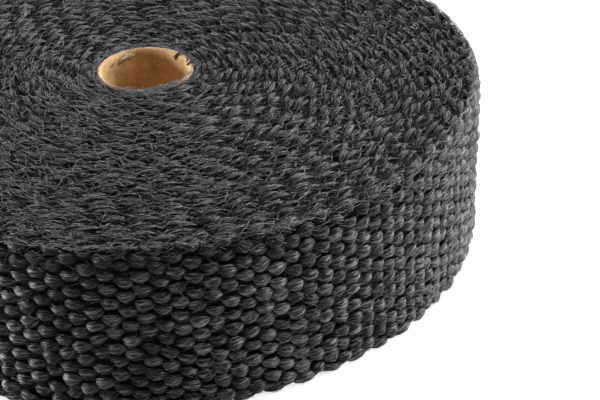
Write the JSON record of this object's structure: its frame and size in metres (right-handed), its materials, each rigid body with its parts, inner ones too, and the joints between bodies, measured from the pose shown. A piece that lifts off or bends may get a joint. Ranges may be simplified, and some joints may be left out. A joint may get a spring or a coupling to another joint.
{
  "type": "roll of woven exhaust heat wrap",
  "caption": "Flat roll of coarse black woven heat wrap tape wound on a cardboard core, for winding round hot exhaust pipes.",
  "frame": {"origin": "centre of the end that the roll lies on", "axes": "+Z along the roll's axis, up out of the end that faces the viewer"},
  "size_m": [0.1946, 0.1946, 0.0508],
  "materials": {
    "woven_tape": "coarse plain weave of matt black glass fibre yarn, fuzzy at the edges",
    "core_board": "plain brown kraft board, matt"
  },
  "bodies": {
    "root": {"wrap_roll": "woven_tape", "cardboard_core": "core_board"}
  },
  "joints": []
}
